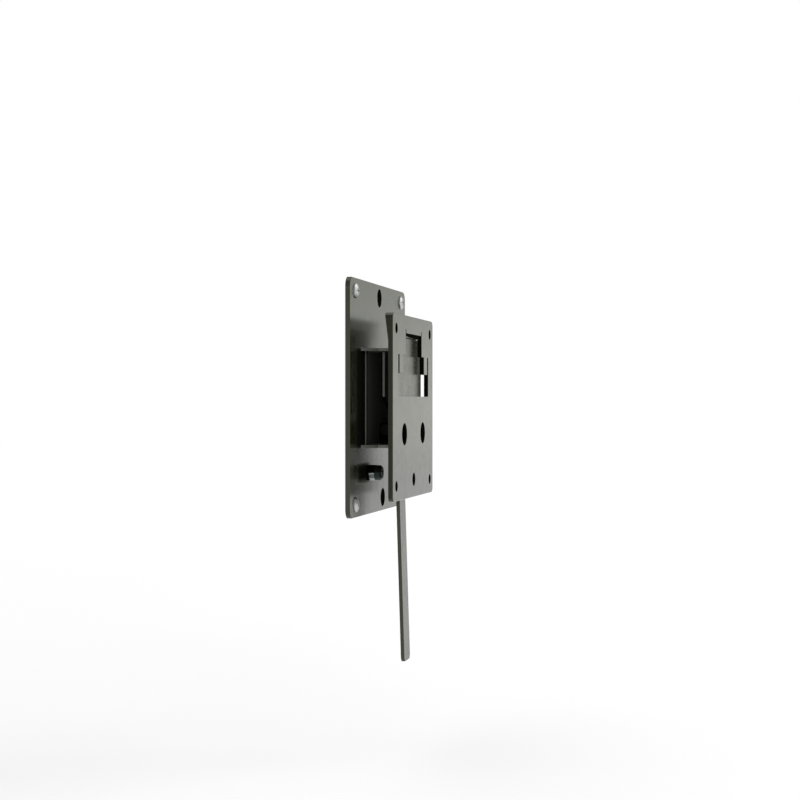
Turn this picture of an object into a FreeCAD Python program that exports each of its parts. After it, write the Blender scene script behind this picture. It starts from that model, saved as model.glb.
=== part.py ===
import FreeCAD, Part
import os
import Sketcher

# Fixed wall mount with a plate that hangs on a latched hook, in millimetres.
# X is to the right seen from the room, Z is up, and Y = 0 is the wall.
# Everything stands on the -Y side of the wall.

doc = FreeCAD.newDocument("wall_mount")
sheet = doc.addObject("Spreadsheet::Sheet", "Sizes")

SIZES = [
    ("wall_wide", 152.0, "wall plate, width"),
    ("wall_tall", 150.6, "wall plate, height"),
    ("wall_thick", 3.0, "wall plate, sheet thickness"),
    ("wall_round", 6.0, "wall plate, corner radius"),
    ("edge_soft", 0.4, "broken edge of the plates' front outlines"),
    ("fix_side", 14.0, "corner screws, in from the sides of the wall plate"),
    ("fix_end", 8.2, "corner screws, in from the top and bottom edges"),
    ("fix_bore", 5.6, "corner screws, hole diameter"),
    ("line_bore", 12.2, "stud-bolt holes, diameter"),
    ("line_end", 8.9, "stud-bolt holes, in from the top and bottom edges"),
    ("line_shift", 9.2, "lower stud-bolt hole, offset to the right"),
    ("front_gap", 20.5, "wall plate front to display plate back"),
    ("disp_wide", 120.0, "display plate, width"),
    ("disp_tall", 119.0, "display plate, height"),
    ("disp_thick", 3.0, "display plate, sheet thickness"),
    ("disp_round", 3.5, "display plate, corner radius"),
    ("disp_drop", 6.0, "display plate centre below wall plate centre"),
    ("vesa_pitch", 100.0, "display plate corner holes, square spacing"),
    ("vesa_bore", 6.8, "display plate corner holes, diameter"),
    ("lock_bore", 8.8, "lock hole, diameter"),
    ("lock_drop", 47.8, "lock hole below centre"),
    ("port_bore", 14.4, "round openings, diameter"),
    ("port_side", 27.4, "round openings, offset to each side"),
    ("port_drop", 17.5, "round openings below centre"),
    ("win_half", 45.0, "window, half width of the wide part"),
    ("win_low", 7.0, "window, lower edge above centre"),
    ("win_step", 33.8, "window, step above centre"),
    ("neck_half", 24.0, "window, half width of the narrow part"),
    ("relief_top", 50.6, "bend relief beside the hanging tab, top"),
    ("tooth_in", 31.5, "window teeth, inner side"),
    ("tooth_out", 41.5, "window teeth, outer side"),
    ("tooth_tip", 22.0, "window teeth, tip height"),
    ("tab_half", 22.2, "hanging tab, half width"),
    ("tab_reach", 9.9, "hanging tab, back face behind the plate front"),
    ("tab_under", 45.4, "hanging tab, underside that sits on the tongue"),
    ("tab_tip", 38.5, "hanging tab, lower end"),
    ("tab_round", 4.5, "hanging tab, outer radius of its rear bend"),
    ("tab_lip", 2.6, "hanging tab, bevel of its front lower edge"),
    ("bend_out", 4.0, "large corner radius of lugs and ears"),
    ("bend_in", 1.0, "small corner radius"),
    ("fold_out", 1.2, "outer radius of the tight folds of the bracket"),
    ("fold_in", 0.5, "inner radius of the tight folds of the bracket"),
    ("wedge_thick", 2.2, "corner pads, thickness at the top"),
    ("wedge_wide", 11.0, "corner pads, width"),
    ("wedge_low", 42.0, "corner pads, height where they run out"),
    ("box_half", 40.0, "hook bracket, half width"),
    ("box_thick", 2.0, "hook bracket, sheet thickness"),
    ("wing_reach", 9.0, "bracket wings at the wall, reach to each side"),
    ("wing_deep", 9.0, "bracket wings at the wall, length along the roof"),
    ("box_top", 37.8, "hook bracket, top above display centre"),
    ("box_low", 26.1, "hook bracket, bottom below display centre"),
    ("tongue_back", 4.1, "hook tongue front behind the display plate front"),
    ("roof_gap", 0.6, "gap between the roof of the bracket and the tongue"),
    ("slot_front", 7.6, "lever slot, front edge"),
    ("slot_rear", 13.2, "lever slot, rear edge"),
    ("slot_half", 9.0, "lever slot, half width"),
    ("finger_in", 8.0, "latch fingers, inner side"),
    ("finger_out", 16.0, "latch fingers, outer side"),
    ("finger_gap", 0.6, "clearance around a latch finger"),
    ("finger_travel", 6.5, "room behind a latch finger"),
    ("ear_in", 9.2, "pivot ears, inner side"),
    ("ear_thick", 2.0, "pivot ears, thickness"),
    ("ear_half", 4.5, "pivot ears, half width about the pivot"),
    ("ear_rise", 5.5, "pivot ears, height above the pivot"),
    ("pivot_back", 16.2, "lever pivot behind the display plate front"),
    ("pivot_rise", 9.1, "lever pivot above the floor of the bracket"),
    ("pin_dia", 4.0, "lever pin, diameter"),
    ("pin_play", 0.05, "lever pin, radial clearance"),
    ("pin_half", 13.6, "lever pin, half length"),
    ("pin_head", 7.0, "lever pin, head diameter"),
    ("clip_dia", 8.0, "pin clip, outer diameter"),
    ("clip_thick", 0.8, "pin clip, thickness"),
    ("lever_thick", 2.4, "release lever, sheet thickness"),
    ("head_front", 10.9, "lever head, front face behind the display plate front"),
    ("head_half", 37.0, "lever head, half width"),
    ("head_gap", 0.6, "lever head below the roof of the bracket"),
    ("head_low", 8.0, "lever head, lower corners above display centre"),
    ("knee_high", 4.0, "upper bend of the lever above display centre"),
    ("knee_low", 27.0, "lower bend of the lever below display centre"),
    ("knee_front", 8.75, "lever front face at the lower bend"),
    ("tail_front", 4.45, "lever front face at its lower end"),
    ("tail_low", 167.5, "lever lower end below display centre"),
    ("tail_half", 8.2, "lever tail, half width"),
    ("tail_cut", 2.4, "lever tail, corner chamfer"),
    ("neck_taper", 8.0, "where the lever head meets the tail, below centre"),
    ("barb_front", 7.5, "latch barb, tip behind the display plate front"),
    ("barb_gap", 0.6, "latch barb above the hanging tab"),
    ("lug_in", 6.6, "lever lugs, inner side"),
    ("lug_thick", 2.0, "lever lugs, thickness"),
    ("lug_rear", 3.6, "lever lugs, rear edge behind the pivot"),
    ("lug_half", 5.0, "lever lugs, half height about the pivot"),
    ("coil_rad", 3.22, "return spring, mean coil radius"),
    ("wire_half", 0.4, "return spring, half side of the square wire"),
    ("coil_pitch", 1.1, "return spring, coil pitch"),
    ("coil_long", 3.3, "return spring, coil length"),
    ("leg_long", 8.0, "return spring, leg length"),
    ("head_dia", 9.5, "corner screws, head diameter"),
    ("head_tall", 1.9, "corner screws, head height"),
    ("head_edge", 0.6, "corner screws, straight part of the head"),
    ("head_slope", 2.0, "corner screws, width of the sloped rim"),
    ("shank_dia", 5.0, "corner screws, shank diameter"),
    ("shank_short", 0.2, "corner screws, end short of the wall"),
    ("cross_wide", 1.0, "cross recess, slot width"),
    ("cross_long", 4.6, "cross recess, slot length"),
    ("cross_deep", 1.3, "cross recess, depth"),
    ("hole_play", 0.3, "radial clearance round studs and nuts"),
    ("post_side", 30.0, "stop post, offset to the left"),
    ("post_rise", 27.0, "stop post above the lower edge of the wall plate"),
    ("post_dia", 6.0, "stop post, stud diameter"),
    ("post_flange", 9.0, "stop post, flush head diameter"),
    ("post_sunk", 1.2, "stop post, flush head thickness"),
    ("post_long", 11.0, "stop post, stud length in front of the wall"),
    ("nut_flats", 9.8, "post nut, width across flats"),
    ("nut_tall", 5.0, "post nut, height"),
    ("cap_dia", 9.6, "post cap, diameter"),
    ("cap_tall", 4.4, "post cap, height"),
    ("cap_round", 1.0, "post cap, edge radius"),
    ("barrel", 400.0, "size of a cutting frame"),
]

for row, (name, number, note) in enumerate(SIZES, start=1):
    sheet.set("A%d" % row, name)
    sheet.set("B%d" % row, str(number))
    sheet.setAlias("B%d" % row, name)
    sheet.set("C%d" % row, note)
doc.recompute()


class Dim:
    """A size with its value and the spreadsheet expression that drives it."""

    def __init__(self, value, text):
        self.value = value
        self.text = text

    def join(self, other, sign, value):
        return Dim(value, "(%s %s %s)" % (self.text, sign, other.text))

    def __add__(self, other):
        return self.join(other, "+", self.value + other.value)

    def __sub__(self, other):
        return self.join(other, "-", self.value - other.value)

    def __neg__(self):
        return Dim(-self.value, "(-1 * %s)" % self.text)

    def half(self):
        return Dim(self.value / 2, "(%s / 2)" % self.text)

    def double(self):
        return Dim(self.value * 2, "(%s * 2)" % self.text)


D = {name: Dim(number, "Sizes." + name) for name, number, note in SIZES}
ORIGIN = None
ORIGIN_SPOT = Dim(0.0, "0")


def new_body(label):
    body = doc.addObject("PartDesign::Body", label)
    body.Label = label
    return body


def move(body, x=None, y=None, z=None):
    for axis, dim in (("x", x), ("y", y), ("z", z)):
        if dim is not None:
            body.setExpression("Placement.Base." + axis, dim.text)


def plane_of(body, role):
    return next(part for part in body.Origin.OriginFeatures if part.Role == role)


def new_sketch(body, role, name):
    sketch = body.newObject("Sketcher::SketchObject", name)
    sketch.AttachmentSupport = [(plane_of(body, role), "")]
    sketch.MapMode = "FlatFace"
    return sketch


def pin_point(sketch, geo, pos, x, y):
    """Hold one point of a sketch by two driven distances from the origin."""
    for kind, axis, dim in (("DistanceX", -2, x), ("DistanceY", -1, y)):
        if dim is ORIGIN:
            sketch.addConstraint(Sketcher.Constraint("PointOnObject", geo, pos, axis))
        else:
            index = sketch.addConstraint(Sketcher.Constraint(kind, -1, 1, geo, pos, dim.value))
            sketch.setExpression("Constraints[%d]" % index, dim.text)


def flat(point):
    return FreeCAD.Vector(*[0.0 if dim is ORIGIN else dim.value for dim in point], 0.0)


def polygon(sketch, points):
    first = sketch.GeometryCount
    count = len(points)
    for i in range(count):
        line = Part.LineSegment(flat(points[i]), flat(points[(i + 1) % count]))
        sketch.addGeometry(line, False)
    for i in range(count):
        after = first + (i + 1) % count
        sketch.addConstraint(Sketcher.Constraint("Coincident", first + i, 2, after, 1))
    for i, (x, y) in enumerate(points):
        pin_point(sketch, first + i, 1, x, y)


def circle(sketch, x, y, radius):
    normal = FreeCAD.Vector(0, 0, 1)
    geo = sketch.addGeometry(Part.Circle(flat((x, y)), normal, radius.value), False)
    pin_point(sketch, geo, 3, x, y)
    index = sketch.addConstraint(Sketcher.Constraint("Radius", geo, radius.value))
    sketch.setExpression("Constraints[%d]" % index, radius.text)


def rectangle(sketch, x0, y0, x1, y1):
    polygon(sketch, [(x0, y0), (x1, y0), (x1, y1), (x0, y1)])


def pad(body, sketch, name, length, both=False, back=False):
    feature = body.newObject("PartDesign::Pad", name)
    feature.Profile = sketch
    feature.setExpression("Length", length.text)
    if both:
        feature.SideType = "Symmetric"
    feature.Reversed = back
    doc.recompute()
    return feature


def cut(body, sketch, name, length=None, back=False):
    """Cut a sketch out of the body: right through, or to a depth on one side."""
    before = body.Shape.Volume
    feature = body.newObject("PartDesign::Pocket", name)
    feature.Profile = sketch
    if length is None:
        feature.SideType = "Symmetric"
        feature.setExpression("Length", D["barrel"].double().text)
    else:
        feature.setExpression("Length", length.text)
        feature.Reversed = back
    doc.recompute()
    if body.Shape.Volume >= before:
        raise RuntimeError(name + " removed nothing")
    return feature


def edges_at(shape, axis, spots, tolerance=0.02):
    """Names of straight edges along an axis whose other coordinates match a spot."""
    others = [i for i in range(3) if i != axis]
    names = []
    for index, edge in enumerate(shape.Edges, start=1):
        if edge.Curve.TypeId != "Part::GeomLine" or abs(abs(edge.Curve.Direction[axis]) - 1) > 1e-6:
            continue
        middle = edge.CenterOfMass
        here = [middle[i] for i in others]
        for spot in spots:
            if all(abs(a - b.value) < tolerance for a, b in zip(here, spot)):
                names.append("Edge%d" % index)
    return names


def round_edges(body, name, axis, spots, radius):
    base = body.Tip
    local = base.Shape
    feature = body.newObject("PartDesign::Fillet", name)
    feature.Base = (base, edges_at(local, axis, spots))
    feature.setExpression("Radius", radius.text)
    doc.recompute()
    return feature


def bevel_edges(body, name, axis, spots, size):
    base = body.Tip
    local = base.Shape
    feature = body.newObject("PartDesign::Chamfer", name)
    feature.Base = (base, edges_at(local, axis, spots))
    feature.setExpression("Size", size.text)
    doc.recompute()
    return feature


def soften_outline(body, name, y, size):
    """Break every edge of the body that lies in the plane at that y."""
    base = body.Tip
    names = []
    for index, edge in enumerate(base.Shape.Edges, start=1):
        box = edge.BoundBox
        if abs(box.YMin - y) < 0.01 and abs(box.YMax - y) < 0.01:
            names.append("Edge%d" % index)
    feature = body.newObject("PartDesign::Chamfer", name)
    feature.Base = (base, names)
    feature.setExpression("Size", size.text)
    doc.recompute()
    return feature


def turned(body, sketch, name, axis_name):
    feature = body.newObject("PartDesign::Revolution", name)
    feature.Profile = sketch
    feature.ReferenceAxis = (sketch, [axis_name])
    feature.Angle = 360.0
    doc.recompute()
    return feature


def along(d):
    """Y of a plane a distance d behind the front of the display plate."""
    return d - D["front_gap"] - D["wall_thick"] - D["disp_thick"]


def centred_corners(wide, tall):
    return [(sx, sz) for sx in (wide.half(), -wide.half()) for sz in (tall.half(), -tall.half())]


def outline_rectangle(sketch, wide, tall):
    rectangle(sketch, -wide.half(), -tall.half(), wide.half(), tall.half())


drop = D["disp_drop"]


def up(z):
    """Z of a height that is measured from the centre of the display plate."""
    return z - drop


# Places on the wall plate, measured in from its edges.
fix_x = D["wall_wide"].half() - D["fix_side"]
fix_z = D["wall_tall"].half() - D["fix_end"]
screw_spots = centred_corners(fix_x.double(), fix_z.double())
line_z = D["wall_tall"].half() - D["line_end"]
post_z = D["post_rise"] - D["wall_tall"].half()

# Wall plate: one flat sheet with four screw holes, two stud-bolt holes and a post hole.
wall_plate = new_body("wall_plate")
sketch = new_sketch(wall_plate, "XZ_Plane", "wall_outline")
outline_rectangle(sketch, D["wall_wide"], D["wall_tall"])
pad(wall_plate, sketch, "wall_sheet", D["wall_thick"])
corner_spots = centred_corners(D["wall_wide"], D["wall_tall"])
round_edges(wall_plate, "wall_corners", 1, corner_spots, D["wall_round"])
soften_outline(wall_plate, "wall_front_edge", -D["wall_thick"].value, D["edge_soft"])
sketch = new_sketch(wall_plate, "XZ_Plane", "wall_holes")
for x, z in screw_spots:
    circle(sketch, x, z, D["fix_bore"].half())
circle(sketch, ORIGIN, line_z, D["line_bore"].half())
circle(sketch, D["line_shift"], -line_z, D["line_bore"].half())
circle(sketch, -D["post_side"], post_z, D["post_dia"].half() + D["hole_play"])
cut(wall_plate, sketch, "wall_drilling")
sketch = new_sketch(wall_plate, "XZ_Plane", "post_sink")
circle(sketch, -D["post_side"], post_z, D["post_flange"].half() + D["hole_play"])
cut(wall_plate, sketch, "post_seat", D["post_sunk"] + D["hole_play"], back=True)


# Display plate: square sheet with a stepped window, two teeth and a tab bent back into a hook.
display_plate = new_body("display_plate")
move(display_plate, y=along(D["disp_thick"]), z=-drop)
sketch = new_sketch(display_plate, "XZ_Plane", "display_outline")
outline_rectangle(sketch, D["disp_wide"], D["disp_tall"])
pad(display_plate, sketch, "display_sheet", D["disp_thick"])
for label, side in (("left", -1), ("right", 1)):
    outer = D["disp_wide"].half()
    sketch = new_sketch(display_plate, "YZ_Plane", label + "_pad_profile")
    top = D["disp_tall"].half()
    points = [(ORIGIN, D["wedge_low"]), (D["wedge_thick"], top), (ORIGIN, top)]
    polygon(sketch, points)
    offset = outer - D["wedge_wide"].half()
    sketch.setExpression("AttachmentOffset.Base.z", (offset if side > 0 else -offset).text)
    pad(display_plate, sketch, label + "_corner_pad", D["wedge_wide"], both=True)
corner_spots = centred_corners(D["disp_wide"], D["disp_tall"])
round_edges(display_plate, "display_corners", 1, corner_spots, D["disp_round"])
soften_outline(display_plate, "display_front_edge", -D["disp_thick"].value, D["edge_soft"])
sketch = new_sketch(display_plate, "XZ_Plane", "window_outline")
window = [
    (D["win_half"], D["win_low"]),
    (D["win_half"], D["win_step"]),
    (D["tooth_out"], D["win_step"]),
    (D["tooth_out"], D["tooth_tip"]),
    (D["tooth_in"], D["tooth_tip"]),
    (D["tooth_in"], D["win_step"]),
    (D["neck_half"], D["win_step"]),
    (D["neck_half"], D["relief_top"]),
]
polygon(sketch, window + [(-x, z) for x, z in reversed(window)])
cut(display_plate, sketch, "window")
sketch = new_sketch(display_plate, "YZ_Plane", "tab_profile")
tab_top = D["tab_under"] + D["disp_thick"]
tab_back = D["tab_reach"] - D["disp_thick"]
tab_front = tab_back - D["disp_thick"]
points = [
    (-D["disp_thick"], D["tab_under"]),
    (tab_front, D["tab_under"]),
    (tab_front, D["tab_tip"]),
    (tab_back, D["tab_tip"]),
    (tab_back, tab_top),
    (ORIGIN, tab_top),
    (ORIGIN, D["relief_top"]),
    (-D["disp_thick"], D["relief_top"]),
]
polygon(sketch, points)
pad(display_plate, sketch, "hanging_tab", D["tab_half"].double(), both=True)
round_edges(display_plate, "tab_rear_bend", 0, [(tab_back, tab_top)], D["tab_round"])
bevel_edges(display_plate, "tab_front_lip", 0, [(-D["disp_thick"], D["tab_under"])], D["tab_lip"])
round_edges(display_plate, "tab_root_bend", 0, [(ORIGIN_SPOT, tab_top)], D["tab_round"] - D["disp_thick"])
round_edges(display_plate, "tab_inner_bend", 0, [(tab_front, D["tab_under"])], D["bend_in"].half())
sketch = new_sketch(display_plate, "XZ_Plane", "display_holes")
for x, z in centred_corners(D["vesa_pitch"], D["vesa_pitch"]):
    circle(sketch, x, z, D["vesa_bore"].half())
circle(sketch, ORIGIN, -D["lock_drop"], D["lock_bore"].half())
for x in (D["port_side"], -D["port_side"]):
    circle(sketch, x, -D["port_drop"], D["port_bore"].half())
cut(display_plate, sketch, "display_drilling")


# Hook bracket: one folded sheet that makes roof, back, floor and the upright tongue.
hook_bracket = new_body("hook_bracket")
sketch = new_sketch(hook_bracket, "YZ_Plane", "bracket_profile")
sheet_thick = D["box_thick"]
back_outer = -D["wall_thick"]
back_inner = back_outer - sheet_thick
tongue_outer = along(D["tongue_back"])
tongue_inner = tongue_outer + sheet_thick
roof_top = up(D["box_top"])
roof_low = roof_top - sheet_thick
floor_low = up(-D["box_low"])
floor_top = floor_low + sheet_thick
roof_front = tongue_inner + D["roof_gap"]
tongue_top = up(D["tab_under"])
points = [
    (roof_front, roof_low),
    (back_inner, roof_low),
    (back_inner, floor_top),
    (tongue_inner, floor_top),
    (tongue_inner, tongue_top),
    (tongue_outer, tongue_top),
    (tongue_outer, floor_low),
    (back_outer, floor_low),
    (back_outer, roof_top),
    (roof_front, roof_top),
]
polygon(sketch, points)
pad(hook_bracket, sketch, "bracket_sheet", D["box_half"].double(), both=True)
bends_in = [(back_inner, roof_low), (back_inner, floor_top), (tongue_inner, floor_top)]
round_edges(hook_bracket, "bracket_inner_bends", 0, bends_in, D["fold_in"])
bends_out = [(back_outer, roof_top), (back_outer, floor_low), (tongue_outer, floor_low)]
round_edges(hook_bracket, "bracket_outer_bends", 0, bends_out, D["fold_out"])
tongue_corners = [(D["box_half"], tongue_top), (-D["box_half"], tongue_top)]
round_edges(hook_bracket, "tongue_corners", 1, tongue_corners, D["bend_in"])
# Wings beside the back widen the roof and the floor where they meet the wall plate.
wing_out = D["box_half"] + D["wing_reach"]
wing_front = back_outer - D["wing_deep"]
for label, base_z in (("roof", roof_low), ("floor", floor_low)):
    for hand, side in (("left", -1), ("right", 1)):
        near, far = (D["box_half"], wing_out) if side > 0 else (-D["box_half"], -wing_out)
        sketch = new_sketch(hook_bracket, "XY_Plane", label + "_" + hand + "_wing_outline")
        polygon(sketch, [(near, wing_front), (far, back_outer), (near, back_outer)])
        sketch.setExpression("AttachmentOffset.Base.z", base_z.text)
        pad(hook_bracket, sketch, label + "_" + hand + "_wing", sheet_thick)
finger_back = along(D["head_front"] + D["lever_thick"])
for label, side in (("left", -1), ("right", 1)):
    sketch = new_sketch(hook_bracket, "XY_Plane", label + "_finger_slot")
    near, far = D["finger_in"] - D["finger_gap"], D["finger_out"] + D["finger_gap"]
    if side < 0:
        near, far = -far, -near
    front = along(D["head_front"]) - D["finger_gap"]
    rectangle(sketch, near, front, far, finger_back + D["finger_travel"])
    sketch.setExpression("AttachmentOffset.Base.z", (roof_top + sheet_thick).text)
    slot = hook_bracket.newObject("PartDesign::Pocket", label + "_finger_opening")
    slot.Profile = sketch
    slot.setExpression("Length", sheet_thick.double().text + " + " + sheet_thick.text)
    doc.recompute()
sketch = new_sketch(hook_bracket, "XY_Plane", "lever_slot")
slot_side = D["slot_half"]
rectangle(sketch, -slot_side, along(D["slot_front"]), slot_side, along(D["slot_rear"]))
sketch.setExpression("AttachmentOffset.Base.z", (floor_top + sheet_thick).text)
slot = hook_bracket.newObject("PartDesign::Pocket", "lever_opening")
slot.Profile = sketch
slot.setExpression("Length", sheet_thick.double().text + " + " + sheet_thick.text)
doc.recompute()
pivot_y = along(D["pivot_back"])
pivot_z = floor_low + sheet_thick + D["pivot_rise"]
ear_top = pivot_z + D["ear_rise"]
ear_front = pivot_y - D["ear_half"]
ear_rear = pivot_y + D["ear_half"]
for label, side in (("left", -1), ("right", 1)):
    sketch = new_sketch(hook_bracket, "YZ_Plane", label + "_ear_profile")
    rectangle(sketch, ear_front, floor_low, ear_rear, ear_top)
    middle = D["ear_in"] + D["ear_thick"].half()
    sketch.setExpression("AttachmentOffset.Base.z", (middle if side > 0 else -middle).text)
    pad(hook_bracket, sketch, label + "_ear", D["ear_thick"], both=True)
ear_corners = [(ear_front, ear_top), (ear_rear, ear_top)]
round_edges(hook_bracket, "ear_ends", 0, ear_corners, D["bend_out"])
sketch = new_sketch(hook_bracket, "YZ_Plane", "pivot_holes")
circle(sketch, pivot_y, pivot_z, D["pin_dia"].half() + D["pin_play"])
cut(hook_bracket, sketch, "pivot_boring")


# Release lever: one cut and bent sheet with a wide head, two latch fingers and a long tail.
release_lever = new_body("release_lever")
move(release_lever, y=along(D["disp_thick"]) - D["disp_thick"], z=-drop)
sketch = new_sketch(release_lever, "YZ_Plane", "lever_profile")
thick = D["lever_thick"]
barb_low = tab_top + D["barb_gap"]
barb_top = barb_low + thick
front_side = [
    (D["barb_front"], barb_top),
    (D["barb_front"], barb_low),
    (D["head_front"], barb_low),
    (D["head_front"], D["knee_high"]),
    (D["knee_front"], -D["knee_low"]),
    (D["tail_front"], -D["tail_low"]),
]
back_side = [
    (D["tail_front"] + thick, -D["tail_low"]),
    (D["knee_front"] + thick, -D["knee_low"]),
    (D["head_front"] + thick, D["knee_high"]),
    (D["head_front"] + thick, barb_top),
]
polygon(sketch, front_side + back_side)
pad(release_lever, sketch, "lever_sheet", D["head_half"].double(), both=True)
bend = [(D["head_front"] + thick, barb_top)]
round_edges(release_lever, "barb_outer_bend", 0, bend, D["bend_in"] + thick.half())
bend = [(D["head_front"], barb_low)]
round_edges(release_lever, "barb_inner_bend", 0, bend, D["bend_in"].half())
sketch = new_sketch(release_lever, "XZ_Plane", "lever_outline")
frame = D["barrel"]
rectangle(sketch, -frame, -frame, frame, frame)
lug_out = D["lug_in"] + D["lug_thick"]
head_top = D["box_top"] - sheet_thick - D["head_gap"]
turn_z = sheet_thick + D["pivot_rise"] - D["box_low"]
lug_low = turn_z - D["lug_half"]
lug_top = turn_z + D["lug_half"]
lug_rear = D["pivot_back"] + D["lug_rear"]
right_side = [
    (D["finger_in"], head_top),
    (D["finger_in"], D["relief_top"] + D["bend_out"]),
    (D["finger_out"], D["relief_top"] + D["bend_out"]),
    (D["finger_out"], head_top),
    (D["head_half"] + thick, head_top),
    (D["head_half"] + thick, D["head_low"]),
    (D["head_half"] - thick, D["head_low"] - thick),
    (lug_out, -D["neck_taper"]),
    (lug_out, lug_low),
    (D["tail_half"], lug_low - thick),
    (D["tail_half"], -D["tail_low"] + D["tail_cut"]),
    (D["tail_half"] - D["tail_cut"], -D["tail_low"] - thick.half()),
]
polygon(sketch, right_side + [(-x, z) for x, z in reversed(right_side)])
cut(release_lever, sketch, "lever_blank")
for label, side in (("left", -1), ("right", 1)):
    sketch = new_sketch(release_lever, "YZ_Plane", label + "_lug_profile")
    rectangle(sketch, D["head_front"], lug_low, lug_rear, lug_top)
    middle = D["lug_in"] + D["lug_thick"].half()
    sketch.setExpression("AttachmentOffset.Base.z", (middle if side > 0 else -middle).text)
    pad(release_lever, sketch, label + "_lug", D["lug_thick"], both=True)
lug_corners = [(lug_rear, lug_low), (lug_rear, lug_top)]
round_edges(release_lever, "lug_ends", 0, lug_corners, D["bend_out"] - D["bend_in"])
sketch = new_sketch(release_lever, "YZ_Plane", "lug_holes")
circle(sketch, D["pivot_back"], turn_z, D["pin_dia"].half() + D["pin_play"])
cut(release_lever, sketch, "lug_boring")


# Lever pin with a flat head on the left and a clip groove on the right.
lever_pin = new_body("lever_pin")
move(lever_pin, y=pivot_y, z=pivot_z)
sketch = new_sketch(lever_pin, "XY_Plane", "pin_profile")
ear_out = D["ear_in"] + D["ear_thick"]
play = D["hole_play"]
groove_in = ear_out + play
groove_out = groove_in + D["clip_thick"] + D["pin_play"].double()
groove_rad = D["pin_dia"].half() - play.double()
points = [
    (-D["pin_half"], ORIGIN),
    (-D["pin_half"], D["pin_head"].half()),
    (-ear_out - play, D["pin_head"].half()),
    (-ear_out - play, D["pin_dia"].half()),
    (groove_in, D["pin_dia"].half()),
    (groove_in, groove_rad),
    (groove_out, groove_rad),
    (groove_out, D["pin_dia"].half()),
    (D["pin_half"], D["pin_dia"].half()),
    (D["pin_half"], ORIGIN),
]
polygon(sketch, points)
turned(lever_pin, sketch, "pin_turning", "H_Axis")

# Open retaining clip in the groove of the pin.
pin_clip = new_body("pin_clip")
move(pin_clip, x=groove_in + D["pin_play"], y=pivot_y, z=pivot_z)
sketch = new_sketch(pin_clip, "YZ_Plane", "clip_ring")
circle(sketch, ORIGIN, ORIGIN, D["clip_dia"].half())
circle(sketch, ORIGIN, ORIGIN, groove_rad + play)
pad(pin_clip, sketch, "clip_sheet", D["clip_thick"])
sketch = new_sketch(pin_clip, "YZ_Plane", "clip_mouth")
mouth = groove_rad - play
rectangle(sketch, -mouth, -D["clip_dia"], mouth, -play)
cut(pin_clip, sketch, "clip_opening")


# Return spring: a torsion coil of square wire round the pin with two upright legs.
def square_wire(sketch, x, y):
    side = D["wire_half"]
    rectangle(sketch, x - side, y - side, x + side, y + side)


return_spring = new_body("return_spring")
move(return_spring, y=pivot_y, z=pivot_z)
start = -D["coil_long"].half()
sketch = new_sketch(return_spring, "XY_Plane", "wire_section")
square_wire(sketch, start, -D["coil_rad"])
coil = return_spring.newObject("PartDesign::AdditiveHelix", "coil")
coil.Profile = sketch
coil.ReferenceAxis = (sketch, ["H_Axis"])
coil.Mode = "pitch-height-angle"
coil.setExpression("Pitch", D["coil_pitch"].text)
coil.setExpression("Height", D["coil_long"].text)
coil.Angle = 0.0
doc.recompute()
for label, x, y in (("front", start, -D["coil_rad"]), ("rear", -start, D["coil_rad"])):
    sketch = new_sketch(return_spring, "XY_Plane", label + "_leg_section")
    square_wire(sketch, x, y)
    pad(return_spring, sketch, label + "_leg", D["leg_long"])
# The rear leg ends in a short foot that presses on the back of the bracket.
sketch = new_sketch(return_spring, "YZ_Plane", "rear_foot_profile")
foot_low = D["leg_long"] - D["wire_half"].double()
rectangle(sketch, D["coil_rad"], foot_low, back_inner - pivot_y, D["leg_long"])
sketch.setExpression("AttachmentOffset.Base.z", (-start).text)
pad(return_spring, sketch, "rear_foot", D["wire_half"].double(), both=True)


# Corner screws: pan heads with a cross recess, set in the wall plate.
def screw(name, x, z):
    body = new_body(name)
    move(body, x=x, y=-D["wall_thick"], z=z)
    profile = new_sketch(body, "XY_Plane", name + "_profile")
    radius = D["head_dia"].half()
    shank = D["shank_dia"].half()
    depth = D["wall_thick"] - D["shank_short"]
    outline = [
        (ORIGIN, -D["head_tall"]),
        (radius - D["head_slope"], -D["head_tall"]),
        (radius, -D["head_edge"]),
        (radius, ORIGIN),
        (shank, ORIGIN),
        (shank, depth),
        (ORIGIN, depth),
    ]
    polygon(profile, outline)
    turned(body, profile, name + "_turning", "V_Axis")
    for tag, wide, long in (("flat", D["cross_long"], D["cross_wide"]), ("tall", D["cross_wide"], D["cross_long"])):
        profile = new_sketch(body, "XZ_Plane", name + "_" + tag + "_slot")
        outline_rectangle(profile, wide, long)
        profile.setExpression("AttachmentOffset.Base.z", D["head_tall"].text)
        cut(body, profile, name + "_" + tag + "_recess", D["cross_deep"])
    return body


def group(label, members):
    """Several equal pieces under one name, kept as separate solids."""
    feature = doc.addObject("Part::Compound", label)
    feature.Label = label
    feature.Links = members
    doc.recompute()
    return feature


screws = [screw("screw_%d" % i, x, z) for i, (x, z) in enumerate(screw_spots, start=1)]
wall_screws = group("wall_screws", screws)


# Stop post low on the left: flush stud, hex nut and a dark cap.
stop_stud = new_body("stop_stud")
move(stop_stud, x=-D["post_side"], z=post_z)
sketch = new_sketch(stop_stud, "XY_Plane", "stud_profile")
stud_rad = D["post_dia"].half()
head_seat = D["post_sunk"] + D["hole_play"]
points = [
    (ORIGIN, -D["shank_short"]),
    (D["post_flange"].half(), -D["shank_short"]),
    (D["post_flange"].half(), -head_seat),
    (stud_rad, -head_seat),
    (stud_rad, -D["post_long"]),
    (ORIGIN, -D["post_long"]),
]
polygon(sketch, points)
turned(stop_stud, sketch, "stud_turning", "V_Axis")

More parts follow.
